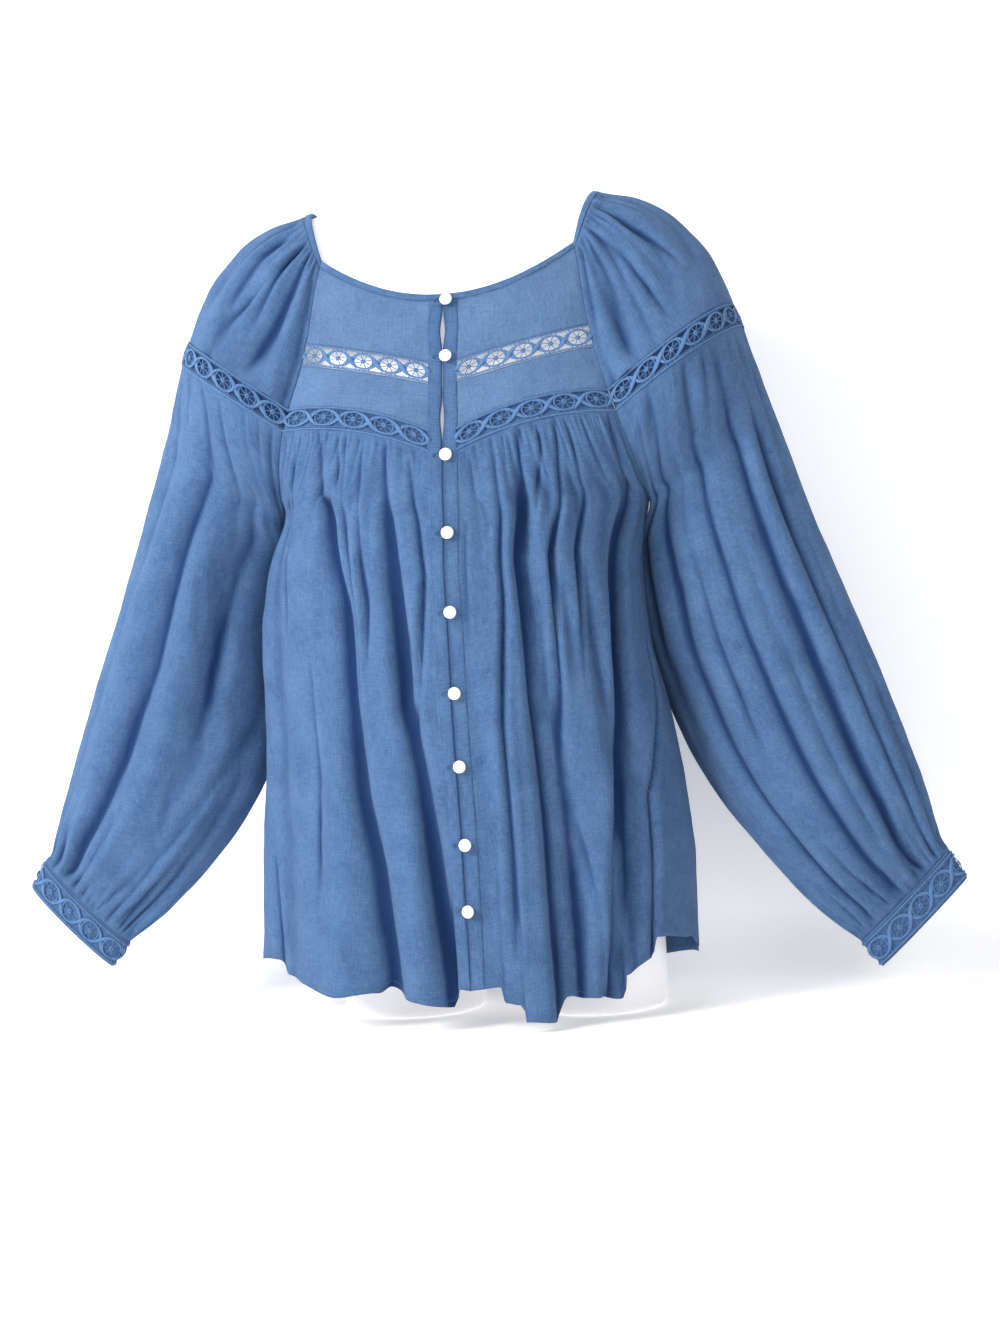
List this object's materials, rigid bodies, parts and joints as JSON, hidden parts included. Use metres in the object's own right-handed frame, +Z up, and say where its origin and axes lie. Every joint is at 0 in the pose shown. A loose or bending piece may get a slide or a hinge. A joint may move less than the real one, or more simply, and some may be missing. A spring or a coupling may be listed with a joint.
{
  "type": "peasant blouse on dress form",
  "caption": "Blue cotton peasant blouse with lace insertions, gathered front, raglan balloon sleeves and pearl buttons, worn by a white limbless torso form",
  "frame": {"origin": "centre of the footprint, on the surface that the form's two thigh stubs stand on", "axes": "+Z up from the stubs to the neck, the blouse's front faces -Y, the wearer's left is +X"},
  "size_m": [0.8702, 0.2694, 0.804],
  "materials": {
    "cloth": "soft crinkled cotton gauze, matte",
    "lace": "cotton cluny lace, matte",
    "form": "smooth white moulded plastic, satin",
    "pearl": "pearl white, polished"
  },
  "bodies": {
    "root": {"form_torso": "form", "neck_binding": "cloth", "yoke_upper_right": "cloth", "yoke_lace_upper_right": "lace", "yoke_lower_right": "cloth", "yoke_lace_lower_right": "lace", "front_right": "cloth", "placket_right": "cloth", "sleeve_cap_right": "cloth", "sleeve_lace_right": "lace", "sleeve_right": "cloth", "cuff_right": "cloth", "cuff_lace_right": "lace", "yoke_upper_left": "cloth", "yoke_lace_upper_left": "lace", "yoke_lower_left": "cloth", "yoke_lace_lower_left": "lace", "front_left": "cloth", "placket_left": "cloth", "sleeve_cap_left": "cloth", "sleeve_lace_left": "lace", "sleeve_left": "cloth", "cuff_left": "cloth", "cuff_lace_left": "lace", "back": "cloth", "button_1": "pearl", "loop_1": "cloth", "button_2": "pearl", "loop_2": "cloth", "button_3": "pearl", "loop_3": "cloth", "button_4": "pearl", "loop_4": "cloth", "button_5": "pearl", "loop_5": "cloth", "button_6": "pearl", "loop_6": "cloth", "button_7": "pearl", "loop_7": "cloth", "button_8": "pearl", "loop_8": "cloth", "button_9": "pearl", "loop_9": "cloth"}
  },
  "joints": []
}
